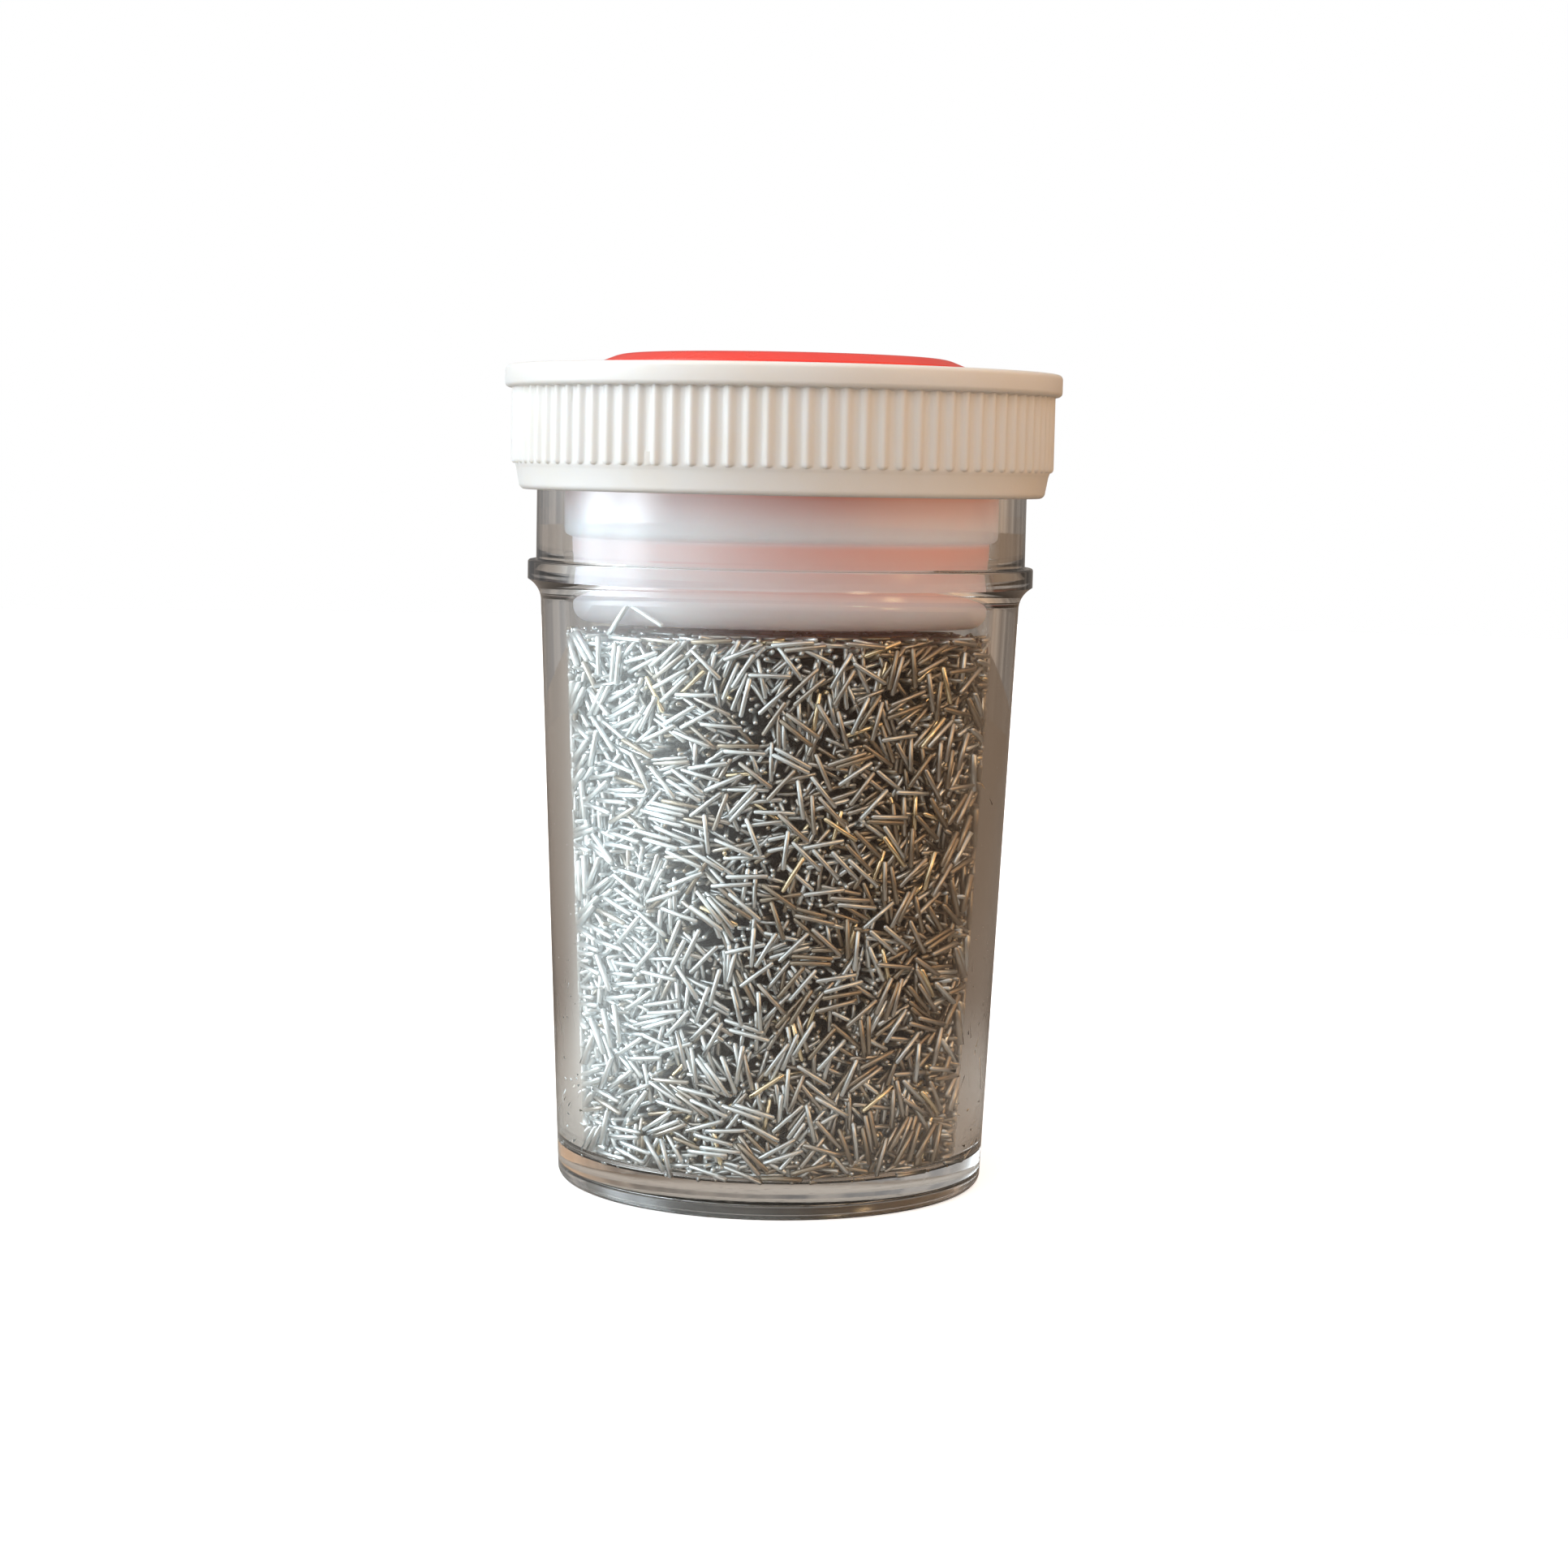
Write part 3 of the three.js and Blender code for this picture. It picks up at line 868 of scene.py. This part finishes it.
def cadPins(names):  # centres and directions of the pins that are nodes of their own
    centres, directions = [], []
    for name in names:
        low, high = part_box(name)
        points = np.array([v.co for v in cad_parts[name].data.vertices])
        centres.append((low + high) / 2 / mm)
        directions.append(np.linalg.svd(points - points.mean(0), full_matrices=False)[2][0])
    return np.array(centres), np.array(directions)


def layPins(rng, width, height, wraps, ends):  # places and leans of pins that don't cross, on one flat layer
    taken = np.zeros((int(width / fill["cell"]), int(height / fill["cell"])), bool)
    half, halfWidth, endHalf = pin["length"] / 2, 0.8 * pin["radius"], fill["endHalf"]
    lengthwise, sideways = np.linspace(-half, half, 51), np.linspace(-halfWidth, halfWidth, 6)
    spots = np.array([(a, b) for a in lengthwise for b in sideways])
    endSpots = np.array([(a, b) for a in (-endHalf, 0, endHalf) for b in (-endHalf, 0, endHalf)])
    size = np.array(taken.shape)

    def cellsOf(points):
        cells = np.floor(points / fill["cell"]).astype(int)
        if wraps:
            cells[:, 0] %= size[0]
        return cells if (cells >= 0).all() and (cells < size).all() else None

    for end in ends:
        cells = cellsOf(end + endSpots)
        if cells is not None:
            taken[cells[:, 0], cells[:, 1]] = True
    found = []
    for _ in range(int(fill["tries"] * width * height / pin["length"] / pin["radius"] / 2)):
        spot, lean = rng.random(2) * (width, height), rng.random() * math.pi
        along = np.array([math.cos(lean), math.sin(lean)])
        across = np.array([-math.sin(lean), math.cos(lean)])
        number = int(rng.choice(fill["groups"], p=fill["groupShares"]))
        for i in range(number):
            turn, slip = lean + rng.normal() * fill["fan"], rng.normal() * fill["slip"]
            centre = spot + across * (i - (number - 1) / 2) * fill["spacing"] * pin["radius"] + along * slip
            c, s = math.cos(turn), math.sin(turn)
            cells = cellsOf(centre + spots @ np.array([[c, s], [-s, c]]))
            if cells is None or taken[cells[:, 0], cells[:, 1]].any():
                continue
            taken[cells[:, 0], cells[:, 1]] = True
            found.append((*centre, turn))
    return found


def scatterPins(rng):  # layers of pins on the wall, the floor and the top, and some that point inwards
    low, top = jar["floor"], fill["top"]
    around = 2 * math.pi * boreRadius(top / 2)
    endR = boreRadius(low) - 0.4
    (leastTilt, tiltSpread), (leastDepth, depthSpread) = fill["endTilt"], fill["endDepth"]
    centres, directions = [], []

    def add(surface, across, up, depth, turn, tilt):
        if surface == "wall":
            a, z = across / around * 2 * math.pi, low + up
            out = np.array([math.cos(a), math.sin(a), 0])
            side, rise = np.array([-math.sin(a), math.cos(a), 0]), np.array([0, 0, 1.0])
            centre = out * (boreRadius(z) - depth) + rise * z
        else:
            out = np.array([0, 0, 1.0 if surface == "top" else -1.0])
            side, rise = np.array([1.0, 0, 0]), np.array([0, 1.0, 0])
            z = top - depth if surface == "top" else low + depth
            centre = np.array([across - endR, up - endR, z])
            if math.hypot(centre[0], centre[1]) > endR - 0.8:
                return
        heading = side * math.cos(turn) + rise * math.sin(turn)
        centres.append(centre)
        directions.append(heading * math.cos(tilt) - out * math.sin(tilt))

    for surface, width, height in (("wall", around, top - low), ("floor", 2 * endR, 2 * endR),
                                   ("top", 2 * endR, 2 * endR)):
        ends = rng.random((int(width * height * fill["endOn"]), 2)) * (width, height)
        for end in ends:
            tilt = leastTilt + rng.random() * tiltSpread
            depth = pin["length"] / 2 * math.sin(tilt) + leastDepth + rng.random() * depthSpread
            add(surface, *end, depth, rng.random() * 2 * math.pi, tilt)
        for layer in range(fill["layers"]):
            for across, up, turn in layPins(rng, width, height, surface == "wall", ends):
                depth = pin["radius"] + 0.02 + fill["layerStep"] * layer
                depth += abs(rng.normal()) * fill["looseness"]
                add(surface, across, up, depth, turn, rng.normal() * fill["tilt"])
    return np.array(centres), np.array(directions)


def closePairs(points, reach):  # index pairs of points closer than reach, found on a grid of cells
    cells = np.floor(points / reach).astype(np.int64)
    cells -= cells.min(0) - 1
    span = cells.max(0) + 2
    keys = (cells[:, 0] * span[1] + cells[:, 1]) * span[2] + cells[:, 2]
    order = np.argsort(keys, kind="stable")
    keys = keys[order]
    steps = [(a, b, c) for a in (-1, 0, 1) for b in (-1, 0, 1) for c in (-1, 0, 1) if (a, b, c) >= (0, 0, 0)]
    firsts, seconds = [], []
    for a, b, c in steps:
        shift = (a * span[1] + b) * span[2] + c
        start = np.searchsorted(keys, keys + shift, side="left")
        end = np.searchsorted(keys, keys + shift, side="right")
        if shift == 0:
            start = np.arange(len(keys)) + 1
        for k in range(int((end - start).max())):
            has = np.nonzero(end - start > k)[0]
            firsts.append(order[has])
            seconds.append(order[start[has] + k])
    first, second = np.concatenate(firsts), np.concatenate(seconds)
    gap = points[first] - points[second]
    near = (gap * gap).sum(1) < reach * reach
    return first[near], second[near]


def settlePins(centres, directions, held, steps):  # pushes overlapping pins apart, inside the jar
    beads = np.linspace(-1, 1, fill["beads"]) * (pin["length"] / 2 - pin["radius"])
    owner = np.repeat(np.arange(len(centres)), len(beads))
    width, tiny = 2 * pin["radius"], 1e-9
    for step in range(steps):
        points = (centres[:, None, :] + directions[:, None, :] * beads[None, :, None]).reshape(-1, 3)
        if step % 4 == 0:  # who is close to whom changes slowly
            first, second = closePairs(points, width * 1.5)
            others = owner[first] != owner[second]
            first, second = first[others], second[others]
        gap = points[first] - points[second]
        distance = np.sqrt((gap * gap).sum(1)) + tiny
        push = gap / distance[:, None] * (np.clip(width - distance, 0, None) / 2)[:, None]
        move = np.stack([np.bincount(first, along, len(points)) - np.bincount(second, along, len(points))
                         for along in push.T], 1)
        radius = np.hypot(points[:, 0], points[:, 1]) + tiny
        outside = np.clip(radius - boreRadius(points[:, 2]) + pin["radius"], 0, None) * 2
        move[:, :2] -= points[:, :2] / radius[:, None] * outside[:, None]
        below = np.clip(jar["floor"] + pin["radius"] - points[:, 2], 0, None)
        above = np.clip(points[:, 2] - fill["top"] + pin["radius"], 0, None)
        move[:, 2] += (below - above) * 2
        move = move.reshape(len(centres), len(beads), 3)
        shift = move.sum(1) / 3
        turn = (move * beads[None, :, None]).sum(1) / (beads ** 2).sum() * 2
        shift[:held], turn[:held] = 0, 0  # the first pins stay where the frame has them
        shift *= np.minimum(1, 0.25 / (np.linalg.norm(shift, axis=1, keepdims=True) + tiny))
        centres = centres + shift
        directions = directions + turn
        directions /= np.linalg.norm(directions, axis=1, keepdims=True)
    return centres, directions


def placedPins(master, centres, directions, litAndShadedSteels, rng, name):
    copies = []
    stops = (-fill["sideways"], 0, fill["sideways"])
    for centre, direction in zip(centres, directions):
        copy = master.copy()
        copy.data = master.data.copy()
        # painted light and shade: pins at the left take the bright steels, pins at the right the dark, warm ones
        shares = np.array([np.interp(centre[0], stops, steel[3]) for steel in fill["litAndShadedSteels"]])
        copy.data.materials.append(litAndShadedSteels[int(rng.choice(len(litAndShadedSteels), p=shares / shares.sum()))])
        turn = Vector((0, 0, 1)).rotation_difference(Vector(direction))
        spin = Matrix.Rotation(rng.random() * math.pi, 4, "Z")
        copy.matrix_world = Matrix.Translation(Vector(centre) * mm) @ turn.to_matrix().to_4x4() @ spin
        bpy.context.scene.collection.objects.link(copy)
        copies.append(copy)
    piece = joined(copies, name)
    pick(piece)
    bpy.ops.object.transform_apply(location=True, rotation=True, scale=True)
    return piece


def steelLook(index, tone, roughness, metal):
    return newMaterial("steelLitAndShaded" + str(index + 1), {
        "Base Color": tone,
        "Metallic": metal,
        "Roughness": roughness,
    })


def makePins():
    rng = np.random.default_rng(fill["seed"])
    names = sorted(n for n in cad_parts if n.startswith("pin_") and n != "pin_bed")
    knownCentres, knownDirections = cadPins(names)
    centres, directions = scatterPins(rng)
    centres = np.concatenate([knownCentres, centres])
    directions = np.concatenate([knownDirections, directions])
    known = len(knownCentres)
    steps = fill["settleSteps"]
    centres, directions = settlePins(centres, directions, known, steps)
    print("pins settled:", len(centres))
    litAndShadedSteels = [steelLook(i, *steel[:3]) for i, steel in enumerate(fill["litAndShadedSteels"])]
    master = makePin()
    loose = placedPins(master, centres[:known], directions[:known], litAndShadedSteels, rng, "loosePins")
    finishPiece(loose, "jar", names)
    centres, directions = centres[known:], directions[known:]
    order = np.argsort(np.arctan2(centres[:, 1], centres[:, 0]), kind="stable")
    for number, start in enumerate(range(0, len(order), fill["pieceSize"]), 1):
        part = order[start:start + fill["pieceSize"]]
        piece = placedPins(master, centres[part], directions[part], litAndShadedSteels, rng, "packedPins" + str(number))
        finishPiece(piece, "jar")
    bpy.data.objects.remove(master)


def coreLook(shade):
    glints = shade.noise(1400, 3.0)
    left, right = fill["coreSides"]
    # painted shade, lighter towards the left as painted light, with painted glints
    dark = shade.across().between(left * mm, right * mm).mix(fill["coreLitLeft"], fill["core"])
    return {
        "Base Color": glints.between(0.5, 0.8).mix(dark, fill["coreGlint"]),
        "Roughness": 0.35 + 0.3 * glints,
        "Normal": shade.bump(glints, 0.3 * mm, 1.0),
    }


def makeCore():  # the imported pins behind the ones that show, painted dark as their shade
    depth = fill["layers"] * fill["layerStep"]
    low, top = jar["floor"] + depth, fill["top"] - depth
    inset = depth + fill["corePlay"]
    profile = [
        (0, low),
        *arcPoints(boreRadius(low) - inset - 1, low + 1, 1, -90, 0, 4),
        *arcPoints(boreRadius(top) - inset - 1, top - 1, 1, 0, 90, 4),
        (0, top),
    ]
    piece = turnedPiece("packedCore", profile, 96)
    smooth(piece, 40)
    dark = newMaterial("shadedSteel", {"Metallic": 0.6}, coreLook)
    finishPiece(piece, "jar", ["pin_bed"], dark)


makeCore()
makePins()
